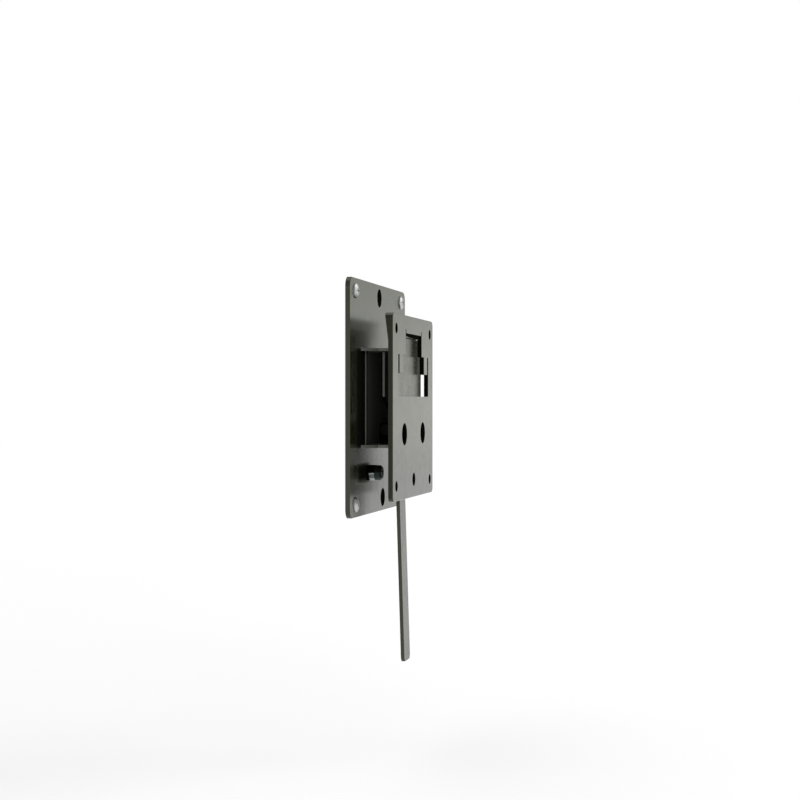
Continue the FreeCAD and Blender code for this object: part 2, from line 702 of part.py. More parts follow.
stud_nut = new_body("stud_nut")
move(stud_nut, x=-D["post_side"], y=-D["wall_thick"], z=post_z)
sketch = new_sketch(stud_nut, "XZ_Plane", "nut_hexagon")
flat_half = D["nut_flats"].half()
corner = Dim(flat_half.value * 2 / 3 ** 0.5, "(%s * 2 / sqrt(3))" % flat_half.text)
polygon(sketch, [
    (corner, ORIGIN),
    (corner.half(), flat_half),
    (-corner.half(), flat_half),
    (-corner, ORIGIN),
    (-corner.half(), -flat_half),
    (corner.half(), -flat_half),
])
circle(sketch, ORIGIN, ORIGIN, stud_rad + D["hole_play"])
pad(stud_nut, sketch, "nut_prism", D["nut_tall"])

stud_cap = new_body("stud_cap")
move(stud_cap, x=-D["post_side"], y=-D["wall_thick"] - D["nut_tall"], z=post_z)
sketch = new_sketch(stud_cap, "XY_Plane", "cap_profile")
cap_rad = D["cap_dia"].half()
bore_rad = stud_rad + D["hole_play"]
bore_deep = D["post_long"] - D["wall_thick"] - D["nut_tall"] + D["hole_play"]
points = [
    (bore_rad, ORIGIN),
    (cap_rad, ORIGIN),
    (cap_rad, -D["cap_tall"] + D["cap_round"]),
    (cap_rad - D["cap_round"], -D["cap_tall"]),
    (ORIGIN, -D["cap_tall"]),
    (ORIGIN, -bore_deep),
    (bore_rad, -bore_deep),
]
polygon(sketch, points)
turned(stud_cap, sketch, "cap_turning", "V_Axis")
doc.recompute()


for item in doc.Objects:
    if "Invalid" in item.State or "Error" in item.State:
        raise RuntimeError("not rebuilt: " + item.Label)

nodes = [
    wall_plate,
    wall_screws,
    hook_bracket,
    display_plate,
    release_lever,
    lever_pin,
    pin_clip,
    return_spring,
    stop_stud,
    stud_nut,
    stud_cap,
]
os.makedirs("parts", exist_ok=True)
for node in nodes:
    shape = node.Shape
    if shape.isNull() or not shape.isValid():
        raise RuntimeError("bad shape: " + node.Label)
    shape.exportStep("parts/%s.step" % node.Label)
    box = shape.BoundBox
    print(node.Label, len(shape.Solids), round(shape.Volume, 1))
    print("   x %.2f %.2f" % (box.XMin, box.XMax), "y %.2f %.2f" % (box.YMin, box.YMax))
    print("   z %.2f %.2f" % (box.ZMin, box.ZMax))
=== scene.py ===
# %% [markdown]
# # A fixed wall mount in black powder coat
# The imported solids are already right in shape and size, in metres, with the wall at Y = 0 and the room on
# the -Y side. Blender gives them their look: the coat, the zinc of the screws, a camera where the
# photographer stood, and soft light. Two small things are shaped here because they are too fine for the
# solids: the screws' heads and the round wire of the spring.

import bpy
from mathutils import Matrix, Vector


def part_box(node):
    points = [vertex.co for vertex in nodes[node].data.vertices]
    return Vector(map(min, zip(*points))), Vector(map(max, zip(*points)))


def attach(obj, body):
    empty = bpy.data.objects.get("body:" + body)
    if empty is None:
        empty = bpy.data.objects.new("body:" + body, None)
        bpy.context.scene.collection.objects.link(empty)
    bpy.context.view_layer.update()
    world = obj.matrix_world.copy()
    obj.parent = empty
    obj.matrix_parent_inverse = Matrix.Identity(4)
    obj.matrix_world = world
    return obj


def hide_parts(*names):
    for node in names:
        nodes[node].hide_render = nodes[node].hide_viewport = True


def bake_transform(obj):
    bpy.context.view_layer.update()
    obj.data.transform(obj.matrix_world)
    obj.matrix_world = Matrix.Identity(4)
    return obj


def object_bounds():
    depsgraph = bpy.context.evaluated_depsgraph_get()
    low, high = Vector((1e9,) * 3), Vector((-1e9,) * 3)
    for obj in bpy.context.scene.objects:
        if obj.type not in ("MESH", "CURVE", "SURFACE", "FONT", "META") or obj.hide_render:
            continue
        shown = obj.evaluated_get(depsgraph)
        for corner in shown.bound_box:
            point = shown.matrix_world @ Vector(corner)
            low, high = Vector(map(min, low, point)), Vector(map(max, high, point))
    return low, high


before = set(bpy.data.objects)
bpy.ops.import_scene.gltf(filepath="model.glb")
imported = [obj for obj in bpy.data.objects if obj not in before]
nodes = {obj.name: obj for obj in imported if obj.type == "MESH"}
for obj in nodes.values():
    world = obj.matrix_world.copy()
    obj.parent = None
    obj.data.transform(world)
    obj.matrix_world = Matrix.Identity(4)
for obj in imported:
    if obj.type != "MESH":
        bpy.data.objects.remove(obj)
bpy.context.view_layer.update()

import math
import bpy
from mathutils import Vector

scene = bpy.context.scene
print("nodes:", sorted(nodes))

# %% [markdown]
# ## The camera
# The photograph looks along the plates, almost edge-on from the left, with a level camera.
# A camera could be set by eye, but the four corner holes of the front plate are a 100 mm square, so their
# places in the picture fix it: about a metre away, 13 degrees off the plane of the plates, with a long lens.

# %% Camera
GRAZING_ANGLE = math.radians(13.165)
SLIGHT_RISE = math.radians(0.133)
CAMERA_DISTANCE = 1.0336
AIM_POINT = Vector((0.0, -0.01707, -0.00132))
FOCAL_PIXELS = 1556.7
PICTURE_PIXELS = 800.0
SENSOR_WIDTH = 36.0
CLIP_START = 0.01

view_direction = Vector((
    math.cos(GRAZING_ANGLE) * math.cos(SLIGHT_RISE),
    math.sin(GRAZING_ANGLE) * math.cos(SLIGHT_RISE),
    math.sin(SLIGHT_RISE),
))
camera_data = bpy.data.cameras.new("camera")
camera_data.sensor_width = SENSOR_WIDTH
camera_data.lens = SENSOR_WIDTH * FOCAL_PIXELS / PICTURE_PIXELS
camera_data.clip_start = CLIP_START
camera_data.dof.use_dof = False
camera = bpy.data.objects.new("camera", camera_data)
camera.location = AIM_POINT - view_direction * CAMERA_DISTANCE
camera.rotation_euler = view_direction.to_track_quat("-Z", "Y").to_euler()
scene.collection.objects.link(camera)
scene.camera = camera
print("camera at", tuple(round(v, 3) for v in camera.location), "lens", round(camera_data.lens, 1))

# %% [markdown]
# ## Node helpers
# Every finish is a small node tree on Object coordinates, so its grain keeps a true size in millimetres and
# moves with its piece. The trees could be wired by hand in the editor. Helpers that add a node, set its
# sockets by name and hand on its output keep the same work readable as text.

# %% Node helpers
def new_finish(name):
    finish = bpy.data.materials.new(name)
    finish.use_nodes = True
    finish.node_tree.nodes.clear()
    return finish, finish.node_tree


def add_node(tree, kind, **sockets):
    node = tree.nodes.new(kind)
    for socket, value in sockets.items():
        node.inputs[socket.replace("_", " ")].default_value = value
    return node


def join(tree, source, target):
    tree.links.new(source, target)


def feed(tree, socket, source):
    """Set a plain number on a socket, or join another node's output to it."""
    if isinstance(source, float):
        socket.default_value = source
    else:
        join(tree, source, socket)


def maths(tree, operation, first, second=0.0):
    node = tree.nodes.new("ShaderNodeMath")
    node.operation = operation
    feed(tree, node.inputs[0], first)
    feed(tree, node.inputs[1], second)
    return node.outputs["Value"]


def vector(tree, x=0.0, y=0.0, z=0.0):
    node = tree.nodes.new("ShaderNodeCombineXYZ")
    for axis, source in (("X", x), ("Y", y), ("Z", z)):
        feed(tree, node.inputs[axis], source)
    return node.outputs["Vector"]


def parts_of(tree, source):
    node = tree.nodes.new("ShaderNodeSeparateXYZ")
    join(tree, source, node.inputs["Vector"])
    return node.outputs["X"], node.outputs["Y"], node.outputs["Z"]


# %% [markdown]
# ## Noise and tone helpers
# No painted or plated surface is even: its tone drifts in clouds and its gloss in patches. Pictures of real
# surfaces could carry that, but noise needs no file, has no seam, and its grain has a size in metres.
# These helpers make a noise, spread it over a range of values and blend two tones by it.

# %% Noise and tone helpers
CLOUDY_DETAIL, PLAIN_DETAIL, FINE_DETAIL = 4.0, 3.0, 2.0
NOISE_ROUGHNESS = 0.55
NOISE_LOW, NOISE_HIGH = 0.3, 0.7


def grain(tree, coords, scale, detail=PLAIN_DETAIL, rough=NOISE_ROUGHNESS):
    """Noise with a grain of about one over the scale, in metres."""
    noise = add_node(tree, "ShaderNodeTexNoise", Scale=scale, Detail=detail, Roughness=rough)
    join(tree, coords.outputs["Object"], noise.inputs["Vector"])
    return noise.outputs["Fac"]


def ramp_between(tree, source, low, high, out_low, out_high):
    remap = add_node(
        tree, "ShaderNodeMapRange", From_Min=low, From_Max=high, To_Min=out_low, To_Max=out_high)
    join(tree, source, remap.inputs["Value"])
    return remap.outputs["Result"]


def spread_over(tree, noise, low, high):
    """Spread a noise's usual range over these two values."""
    return ramp_between(tree, noise, NOISE_LOW, NOISE_HIGH, low, high)


def two_tone(tree, factor, first, second):
    """Blend two colours. The first may be a colour or another node's output."""
    mix = tree.nodes.new("ShaderNodeMix")
    mix.data_type = "RGBA"
    if isinstance(first, tuple):
        mix.inputs["A"].default_value = (*first, 1.0)
    else:
        join(tree, first, mix.inputs["A"])
    mix.inputs["B"].default_value = (*second, 1.0)
    join(tree, factor, mix.inputs["Factor"])
    return mix.outputs["Result"]


def finish_surface(tree, shader, height, strength, depth):
    bump = add_node(tree, "ShaderNodeBump", Strength=strength, Distance=depth)
    join(tree, height, bump.inputs["Height"])
    join(tree, bump.outputs["Normal"], shader.inputs["Normal"])
    output = tree.nodes.new("ShaderNodeOutputMaterial")
    join(tree, shader.outputs["BSDF"], output.inputs["Surface"])


# %% [markdown]
# ## Black powder coat
# The sheet parts are sprayed with dry paint powder and baked. The baked skin is near black with a slight
# olive cast, satin, and pebbled like orange peel, about a millimetre from bump to bump.
# One flat colour would look like plastic film. Three noises do more: a cloudy tone, patches of gloss and the
# fine peel as bump. At a grazing view the skin mirrors the bright room, which makes the plates look grey.

# %% Powder coat
COAT_DARK = (0.009, 0.010, 0.004)
COAT_PALE = (0.015, 0.016, 0.008)
COAT_SHINE = (1.0, 1.0, 0.86)
COAT_IOR = 1.55
CLOUD_SCALE = 45.0
HAZE_SCALE = 160.0
PEEL_SCALE = 1100.0
PEEL_ROUGHNESS = 0.45
PEEL_STRENGTH = 0.05
PEEL_DEPTH = 0.0002


def start_coat(name, satin_low, satin_high):
    """Shader, colour and gloss of the coat before any mask."""
    finish, tree = new_finish(name)
    coords = tree.nodes.new("ShaderNodeTexCoord")
    shader = add_node(tree, "ShaderNodeBsdfPrincipled", IOR=COAT_IOR)
    tone = two_tone(tree, grain(tree, coords, CLOUD_SCALE, CLOUDY_DETAIL), COAT_DARK, COAT_PALE)
    spread = spread_over(tree, grain(tree, coords, HAZE_SCALE), satin_low, satin_high)
    return finish, tree, coords, shader, tone, spread


def end_coat(tree, coords, shader, tone, spread):
    join(tree, tone, shader.inputs["Base Color"])
    join(tree, spread, shader.inputs["Roughness"])
    peel = grain(tree, coords, PEEL_SCALE, FINE_DETAIL, PEEL_ROUGHNESS)
    finish_surface(tree, shader, peel, PEEL_STRENGTH, PEEL_DEPTH)


# %% [markdown]
# ## Masks
# A mask is a number, 1 where something holds and 0 elsewhere, made from the place of a point and the way
# its face looks. Faces could be given materials one by one instead, but a mask needs no selection, can fade,
# and follows a piece when it is counted from the piece's box. Masks multiply for "and" and take the larger
# one for "or".

# %% Masks
# A mask goes from 0 to 1 within this step, in metres or in parts of a face's direction.
MASK_EDGE = 0.00006
HALF_MASK, HALF_EDGE = 0.5, 0.1


def beyond(tree, source, level, edge=MASK_EDGE):
    """1 where the value is above the level, 0 below it."""
    return ramp_between(tree, source, level - edge, level, 0.0, 1.0)


def below(tree, source, level, edge=MASK_EDGE):
    return ramp_between(tree, source, level, level + edge, 1.0, 0.0)


def all_of(tree, *masks):
    result = masks[0]
    for mask in masks[1:]:
        result = maths(tree, "MULTIPLY", result, mask)
    return result


def any_of(tree, *masks):
    result = masks[0]
    for mask in masks[1:]:
        result = maths(tree, "MAXIMUM", result, mask)
    return result


def within(tree, source, low, high, edge=MASK_EDGE):
    return all_of(tree, beyond(tree, source, low, edge), below(tree, source, high, edge))


def without(tree, mask):
    """1 where the mask is 0, and 0 where it is 1."""
    return below(tree, mask, HALF_MASK, HALF_EDGE)


def unsigned(tree, source):
    return maths(tree, "ABSOLUTE", source)


# %% [markdown]
# ## Painted shade
# Shade is painted into the colour of the walls of holes, the edges of the window, the inside of the folded
# bracket and the corners beside what stands on a plate, where little light reaches. The surface there is
# dark and dull. A darker paint would still mirror the room at a grazing view. So the mask also makes the
# surface a rough metal, whose tint dims the mirror image at its edge angles too.

# %% Painted shade
# Colour of the painted shade, and the dimmed shine and roughness of its mirror image.
PAINTED_SHADE = (0.010, 0.011, 0.008)
BOX_SHADE = (0.115, 0.119, 0.110)
SHADE_SHINE = (0.32, 0.32, 0.30)
SHADE_ROUGH = 0.90


def paint_shade(tree, shader, tone, spread, mask, colour):
    """Painted shade: dull steel of this colour where the mask is 1, with less shine at a glancing angle too.
    """
    dull = tree.nodes.new("ShaderNodeMix")
    dull.inputs["B"].default_value = SHADE_ROUGH
    join(tree, mask, dull.inputs["Factor"])
    join(tree, spread, dull.inputs["A"])
    join(tree, mask, shader.inputs["Metallic"])
    join(tree, two_tone(tree, mask, COAT_SHINE, SHADE_SHINE), shader.inputs["Specular Tint"])
    return two_tone(tree, mask, tone, colour), dull.outputs["Result"]


# %% [markdown]
# ## Painted shadows and lip
# A painted shadow darkens the wall plate beside the bracket and beside the post, with soft borders. The
# bevelled lip of the front plate's tab gets painted shade too, for the shadow under the tab, but its lower
# rim is left out, more widely at its left end, so its mask stops at a slanted line.
# The places of the painted shadows could all be typed in. Most are counted from the boxes of the bracket and
# the nut instead, so they follow when those move.

# %% Painted shadows and lip
# The slanted line on the lip, from the tab's left end to its right end.
TAB_LIP = {"x": (-0.0222, 0.0222), "z": (0.0402, 0.0388)}
# Heights of the bracket's inner floor and roof, a tenth of a millimetre into the sheet.
BOX_FLOOR, BOX_ROOF = -0.0302, 0.0299
SHADOW_INSET = 0.0005
SHADOW_REACH = 0.005
SHADOW_FADE_ACROSS = 0.012
BRACKET_FADE_UP, POST_FADE_UP = 0.003, 0.005
POST_REACH_LEFT, POST_REACH_RIGHT = 0.0153, 0.0017
POST_INSET_LOW, POST_INSET_HIGH = 0.0027, 0.0021
bracket_low, bracket_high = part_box("hook_bracket")
nut_low, nut_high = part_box("stud_nut")
# Painted shadows beside the bracket and the post. Each runs from one place to another and has a fade.
BRACKET_PAINTED_SHADOW = {
    "x": (bracket_low[0] - SHADOW_REACH, bracket_high[0] + SHADOW_REACH, SHADOW_FADE_ACROSS),
    "z": (BOX_FLOOR + SHADOW_INSET, BOX_ROOF - SHADOW_INSET, BRACKET_FADE_UP),
}
POST_PAINTED_SHADOW = {
    "x": (nut_low[0] - POST_REACH_LEFT, nut_low[0] + POST_REACH_RIGHT, SHADOW_FADE_ACROSS),
    "z": (nut_low[2] + POST_INSET_LOW, nut_high[2] - POST_INSET_HIGH, POST_FADE_UP),
}
for label, painted_shadow in (("bracket lee", BRACKET_PAINTED_SHADOW), ("post lee", POST_PAINTED_SHADOW)):
    print(label, {axis: [round(v * 1000, 1) for v in span] for axis, span in painted_shadow.items()})

# %% [markdown]
# ## Coats of the two plates
# The wall plate and the front plate are flat sheets with cut holes. Faces that look sideways and lie inside
# the outline are walls of holes, so they get painted shade. The front plate's left and right sides get a
# little painted shade. Each plate could have a function of its own, but they differ only in a few values.

# %% Plate coats
FACE_ON = 0.75
SQUARE_ON = 0.9
BEVEL_ON = 0.3
LIP_FADE = 0.0006


def plate_coat(name, node, side_band, end_band, satin, side_shade=0.0, painted_shadows=(), lip=None):
    """Painted shade in holes and windows, on the sides, and in painted shadows beside what stands on the
    plate.
    """
    finish, tree, coords, shader, tone, spread = start_coat(name, *satin)
    low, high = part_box(node)
    half_wide = high[0] - side_band
    x, _, z = parts_of(tree, coords.outputs["Object"])
    facing_x, facing_y, _ = parts_of(tree, coords.outputs["Normal"])
    from_middle = unsigned(tree, x)
    edgewise = below(tree, unsigned(tree, facing_y), FACE_ON)
    height = within(tree, z, low[2] + end_band, high[2] - end_band)
    # Painted shade on the walls of holes and of the window.
    hole_wall = all_of(tree, edgewise, below(tree, from_middle, half_wide), height)
    # The lip's bevel is a hole wall, so it gets painted shade for the shadow under the tab; its rim below a
    # slanted line is left out.
    if lip:
        slant = ramp_between(tree, x, *lip["x"], *lip["z"])
        under = below(tree, maths(tree, "SUBTRACT", z, slant), 0.0, LIP_FADE)
        on_lip = all_of(tree, beyond(tree, z, min(lip["z"])), below(tree, facing_y, -BEVEL_ON))
        unshaded_rim = all_of(tree, on_lip, under)
        hole_wall = all_of(tree, hole_wall, maths(tree, "SUBTRACT", 1.0, unshaded_rim))
    # Painted shade, at a share, on the front plate's left and right sides.
    sideways = beyond(tree, unsigned(tree, facing_x), SQUARE_ON)
    side = all_of(tree, sideways, beyond(tree, from_middle, half_wide))
    zones = [hole_wall, ramp_between(tree, side, 0.0, 1.0, 0.0, side_shade)]
    front = below(tree, facing_y, -SQUARE_ON)
    # Painted shadows on the front face, beside what stands on the plate.
    for painted_shadow in painted_shadows:
        zones.append(all_of(tree, front, within(tree, x, *painted_shadow["x"]), within(tree, z, *painted_shadow["z"])))
    tone, spread = paint_shade(tree, shader, tone, spread, any_of(tree, *zones), PAINTED_SHADE)
    end_coat(tree, coords, shader, tone, spread)
    return finish


wall_coat = plate_coat(
    "wall_plate_coat", "wall_plate",
    side_band=0.016, end_band=0.0013, satin=(0.18, 0.23), painted_shadows=(BRACKET_PAINTED_SHADOW, POST_PAINTED_SHADOW))
front_coat = plate_coat(
    "display_plate_coat", "display_plate",
    side_band=0.0025, end_band=0.0015, satin=(0.17, 0.24), side_shade=0.35, lip=TAB_LIP)
print("plate finishes:", wall_coat.name, front_coat.name)

# %% [markdown]
# ## Coats of the folded pieces
# The bracket is a sheet folded to a box that is open at both ends, and the lever's head hangs inside it.
# The inside gets painted shade. The coat pulls back from the cut ends of the sheet, which stay paler outside
# the box's height and get painted shade within it.
# Looking in from the left, one cut end of each piece catches the light as a thin bright line. It could be
# modelled as a bevel. A narrow band of the mask does it without a face that thin.

# %% Coats of the folded pieces
END_ON = 0.4
# Back of the bracket's tongue, a tenth of a millimetre into the sheet.
TONGUE_BACK = -0.0205


def folded_coat(name, cut_from, cut_tone, line_tone, line_y, satin):
    """Painted shade inside the bracket, pale on the cut ends, with one painted highlight line on the end
    inside the box.
    """
    finish, tree, coords, shader, tone, spread = start_coat(name, *satin)
    x, y, z = parts_of(tree, coords.outputs["Object"])
    facing_x = parts_of(tree, coords.outputs["Normal"])[0]
    endwise = beyond(tree, unsigned(tree, facing_x), END_ON)
    cut_end = all_of(tree, endwise, beyond(tree, unsigned(tree, x), cut_from))
    level = within(tree, z, BOX_FLOOR, BOX_ROOF)
    boxed = all_of(tree, level, any_of(tree, beyond(tree, y, TONGUE_BACK), cut_end))
    line = all_of(tree, cut_end, boxed, within(tree, y, *line_y))
    flange = all_of(tree, cut_end, without(tree, level))
    hollow = all_of(tree, boxed, without(tree, line))
    # Painted shade inside the box.
    tone, spread = paint_shade(tree, shader, tone, spread, hollow, BOX_SHADE)
    # Painted shade on the cut ends within the box's height.
    tone = two_tone(tree, all_of(tree, endwise, level), tone, PAINTED_SHADE)
    tone = two_tone(tree, flange, tone, cut_tone)
    tone = two_tone(tree, line, tone, line_tone)
    end_coat(tree, coords, shader, tone, spread)
    return finish


bracket_coat = folded_coat(
    "bracket_coat",
    cut_from=0.0395, cut_tone=(0.14, 0.14, 0.131),
    line_tone=(0.15, 0.15, 0.145), line_y=(-0.0043, -0.0035), satin=(0.22, 0.29))
lever_coat = folded_coat(
    "lever_coat",
    cut_from=0.0365, cut_tone=COAT_PALE,
    line_tone=(0.10, 0.10, 0.094), line_y=(-0.0157, -0.0143), satin=(0.20, 0.27))
print("folded finishes:", bracket_coat.name, lever_coat.name)

# %% [markdown]
# ## Zinc and blackened steel
# The screws and the post's stud are plated with zinc: a pale grey metal, mottled, with soft reflections.
# The pin, its clip and the spring are oil-blackened steel. All are the same tree, metal with a mottled tone,
# in other colours. The post's nut gets painted shade: black above its middle and at its foot by the wall.
# Below, it is bare metal with a darker band.
# The shade could be left to the lamps. Here black as the metal's own colour stands in for it.

# %% Metal finishes
MOTTLE_SCALE = 420.0
MOTTLE_STRENGTH = 0.04
BRUSH_SCALE = 900.0
FINE_DEPTH = 0.0001
DARK_BAND_TONE = (0.22, 0.26, 0.25)
BAND_FADE, SHADE_FADE, FOOT_FADE = 0.0006, 0.0004, 0.0003
SHADE_RISE = 0.0001
FOOT_LENGTH = 0.0016
BAND_LOW, BAND_HIGH = 0.0031, 0.0012


def metal_finish(name, pale, dull, rough, shade=None):
    """Mottled metal, with painted shade, black above a height and at the foot, and a darker band, where
    given.
    """
    finish, tree = new_finish(name)
    coords = tree.nodes.new("ShaderNodeTexCoord")
    shader = add_node(tree, "ShaderNodeBsdfPrincipled", Metallic=1.0)
    mottle = grain(tree, coords, MOTTLE_SCALE, CLOUDY_DETAIL)
    tone = two_tone(tree, mottle, pale, dull)
    if shade:
        _, y, z = parts_of(tree, coords.outputs["Object"])
        # A darker band below the middle.
        tone = two_tone(tree, within(tree, z, *shade["groove"], BAND_FADE), tone, DARK_BAND_TONE)
        # Painted shade: black above the middle and at the foot by the wall.
        upper = beyond(tree, z, shade["above"], SHADE_FADE)
        foot = beyond(tree, y, shade["behind"], FOOT_FADE)
        tone = two_tone(tree, any_of(tree, upper, foot), tone, PAINTED_SHADE)
    join(tree, tone, shader.inputs["Base Color"])
    spread = spread_over(tree, grain(tree, coords, BRUSH_SCALE, FINE_DETAIL), *rough)
    join(tree, spread, shader.inputs["Roughness"])
    finish_surface(tree, shader, mottle, MOTTLE_STRENGTH, FINE_DEPTH)
    return finish


nut_middle = (nut_low[2] + nut_high[2]) / 2
# Where the nut gets painted shade, and where its darker band lies.
NUT_SHADE = {
    "above": nut_middle + SHADE_RISE,
    "behind": nut_high[1] - FOOT_LENGTH,
    "groove": (nut_middle - BAND_LOW, nut_middle - BAND_HIGH),
}
zinc = metal_finish(
    "zinc_plating", pale=(0.57, 0.58, 0.575), dull=(0.44, 0.45, 0.45), rough=(0.42, 0.55))
nut_zinc = metal_finish(
    "zinc_with_painted_shade", pale=(0.88, 0.95, 0.91), dull=(0.64, 0.72, 0.68), rough=(0.22, 0.32), shade=NUT_SHADE)
spring_steel = metal_finish(
    "oiled_spring_steel", pale=(0.020, 0.020, 0.021), dull=(0.010, 0.010, 0.011), rough=(0.40, 0.55))
print("metal finishes:", zinc.name, nut_zinc.name, spring_steel.name)

# %% [markdown]
# ## Dark cap
# The end of the post is a smooth black cap with a faint blue-green cast. It is moulded, so it has no peel:
# a cloudy tone and fine scuffs in the gloss are enough. Its upper half gets the same painted shade as the
# nut, so a mask makes it black and takes most of the shine away there.

# %% Cap plastic
CAP_IOR = 1.30
CAP_CLOUD_SCALE = 300.0
SCUFF_SCALE = 1400.0
SCUFF_STRENGTH = 0.05
CAP_GLOSS = (0.20, 0.32)
CAP_FADE = 0.0005
CAP_SHADE_RISE = 0.0006
CAP_SHINE, SHADED_SHINE = 0.5, 0.05


def cap_plastic(name, dark, cast, shaded_above):
    finish, tree = new_finish(name)
    coords = tree.nodes.new("ShaderNodeTexCoord")
    shader = add_node(tree, "ShaderNodeBsdfPrincipled", IOR=CAP_IOR)
    upper = beyond(tree, parts_of(tree, coords.outputs["Object"])[2], shaded_above, CAP_FADE)
    tone = two_tone(tree, grain(tree, coords, CAP_CLOUD_SCALE, CLOUDY_DETAIL), dark, cast)
    # Painted shade: the upper half is black and keeps little shine.
    tone = two_tone(tree, upper, tone, PAINTED_SHADE)
    join(tree, tone, shader.inputs["Base Color"])
    shine = ramp_between(tree, upper, 0.0, 1.0, CAP_SHINE, SHADED_SHINE)
    join(tree, shine, shader.inputs["Specular IOR Level"])
    scuffs = grain(tree, coords, SCUFF_SCALE, FINE_DETAIL)
    join(tree, spread_over(tree, scuffs, *CAP_GLOSS), shader.inputs["Roughness"])
    finish_surface(tree, shader, scuffs, SCUFF_STRENGTH, FINE_DEPTH)
    return finish


cap_black = cap_plastic(
    "dark_cap_plastic",
    dark=(0.016, 0.026, 0.023), cast=(0.030, 0.049, 0.045), shaded_above=nut_middle + CAP_SHADE_RISE)
print("finish:", cap_black.name)

# %% [markdown]
# ## Which piece has which finish
# The sheet parts wear one powder coat, each with masks for its own holes and folds. Every solid keeps its
# own object, so only its material slot changes here.

# %% Assign finishes
FINISH_OF = {
    "wall_plate": wall_coat,
    "hook_bracket": bracket_coat,
    "display_plate": front_coat,
    "release_lever": lever_coat,
    "wall_screws": zinc,
    "stud_nut": nut_zinc,
    "stop_stud": zinc,
    "lever_pin": spring_steel,
    "pin_clip": spring_steel,
    "return_spring": spring_steel,
    "stud_cap": cap_black,
}
for name, finish in FINISH_OF.items():
    mesh = nodes[name].data
    mesh.materials.clear()
    mesh.materials.append(finish)
print("finished nodes:", len(FINISH_OF), "of", len(nodes))

# %% [markdown]
# ## Geometry Nodes helpers
# The screws and the spring are made by Geometry Nodes: a tree of steps with named sizes as its inputs, so a
# learner can open it and pull on a size. Meshes could be typed as points and faces instead, but then no size
# could be changed. The helpers start a tree, add its steps and close it with smooth shading and sharp
# creases.

# %% Tree helpers
CREASE_ANGLE = 0.6


def new_tree(name, sizes):
    tree = bpy.data.node_groups.new(name, "GeometryNodeTree")
    for label, size in sizes.items():
        socket = tree.interface.new_socket(label, in_out="INPUT", socket_type="NodeSocketFloat")
        socket.default_value = size
    tree.interface.new_socket("Geometry", in_out="OUTPUT", socket_type="NodeSocketGeometry")
    return tree, tree.nodes.new("NodeGroupInput").outputs


def step(tree, kind, links=None, **sockets):
    """Add a node, set its plain sockets and link the others."""
    node = add_node(tree, kind, **sockets)
    for socket, source in (links or {}).items():
        join(tree, source, node.inputs[socket])
    return node


def close_tree(tree, geometry):
    smooth = step(tree, "GeometryNodeSetShadeSmooth", {"Geometry": geometry})
    crease = step(tree, "GeometryNodeInputMeshEdgeAngle")
    sharp = maths(tree, "GREATER_THAN", crease.outputs["Unsigned Angle"], CREASE_ANGLE)
    edges = step(tree, "GeometryNodeSetShadeSmooth", {"Geometry": smooth.outputs[0], "Selection": sharp})
    edges.domain = "EDGE"
    edges.inputs["Shade Smooth"].default_value = False
    output = tree.nodes.new("NodeGroupOutput")
    join(tree, edges.outputs[0], output.inputs["Geometry"])


# %% [markdown]
# ## From tree to piece
# A tree can stay on an object as a modifier. Here it is run once on an empty mesh, and the result is kept as
# a plain mesh with one finish, which can ride on a body like any solid.

# %% Piece from a tree
def made_by(name, tree, sizes, finish):
    """Run a tree on an empty mesh and keep the result as a plain piece."""
    carrier = bpy.data.objects.new(name + "_carrier", bpy.data.meshes.new(name + "_carrier"))
    scene.collection.objects.link(carrier)
    modifier = carrier.modifiers.new(name, "NODES")
    modifier.node_group = tree
    for item in tree.interface.items_tree:
        if item.in_out == "INPUT":
            modifier[item.identifier] = sizes[item.name]
    shaped = carrier.evaluated_get(bpy.context.evaluated_depsgraph_get())
    mesh = bpy.data.meshes.new_from_object(shaped)
    bpy.data.objects.remove(carrier)
    mesh.materials.clear()
    mesh.materials.append(finish)
    mesh.polygons.foreach_set("material_index", [0] * len(mesh.polygons))
    piece = bpy.data.objects.new(name, mesh)
    scene.collection.objects.link(piece)
    print(name, "faces:", len(mesh.polygons), "finish:", [m.name for m in mesh.materials])
    return piece


# %% [markdown]
# ## Corner screws
# Four pan-head screws with a cross recess hold the wall plate. The solids' heads have a straight slope, so
# the scene makes domed ones with the same cross. Their distances could be typed in, but the box of the solid
# screws gives them too, and then both sit in the same holes.

# %% Screw sizes
HEAD_RADIUS = 0.00475
screws_low, screws_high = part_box("wall_screws")
plate_low, plate_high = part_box("wall_plate")
SCREW_SIZES = {
    "Columns apart": round(screws_high[0] - screws_low[0] - 2 * HEAD_RADIUS, 4),
    "Rows apart": round(screws_high[2] - screws_low[2] - 2 * HEAD_RADIUS, 4),
    "Head radius": HEAD_RADIUS,
    "Head height": 0.0020,
    "Rim height": 0.0006,
    "Shank radius": 0.0025,
    "Shank length": 0.0028,
    "Recess length": 0.0046,
    "Recess width": 0.0010,
    "Recess depth": 0.0013,
    "Plate thickness": plate_high[1] - plate_low[1],
}
tree, size = new_tree("corner_screws", SCREW_SIZES)
print("screw sizes:", {label: round(value * 1000, 2) for label, value in SCREW_SIZES.items()})

# %% [markdown]
# ## Screw head
# A pan head is pressed, with a flat top that falls away to a low rim. A cut sphere would fall too evenly.
# So the head starts as a flat disc with rings in its cap, and its top is raised into a dome by a falling
# curve, which gives the softer rim.

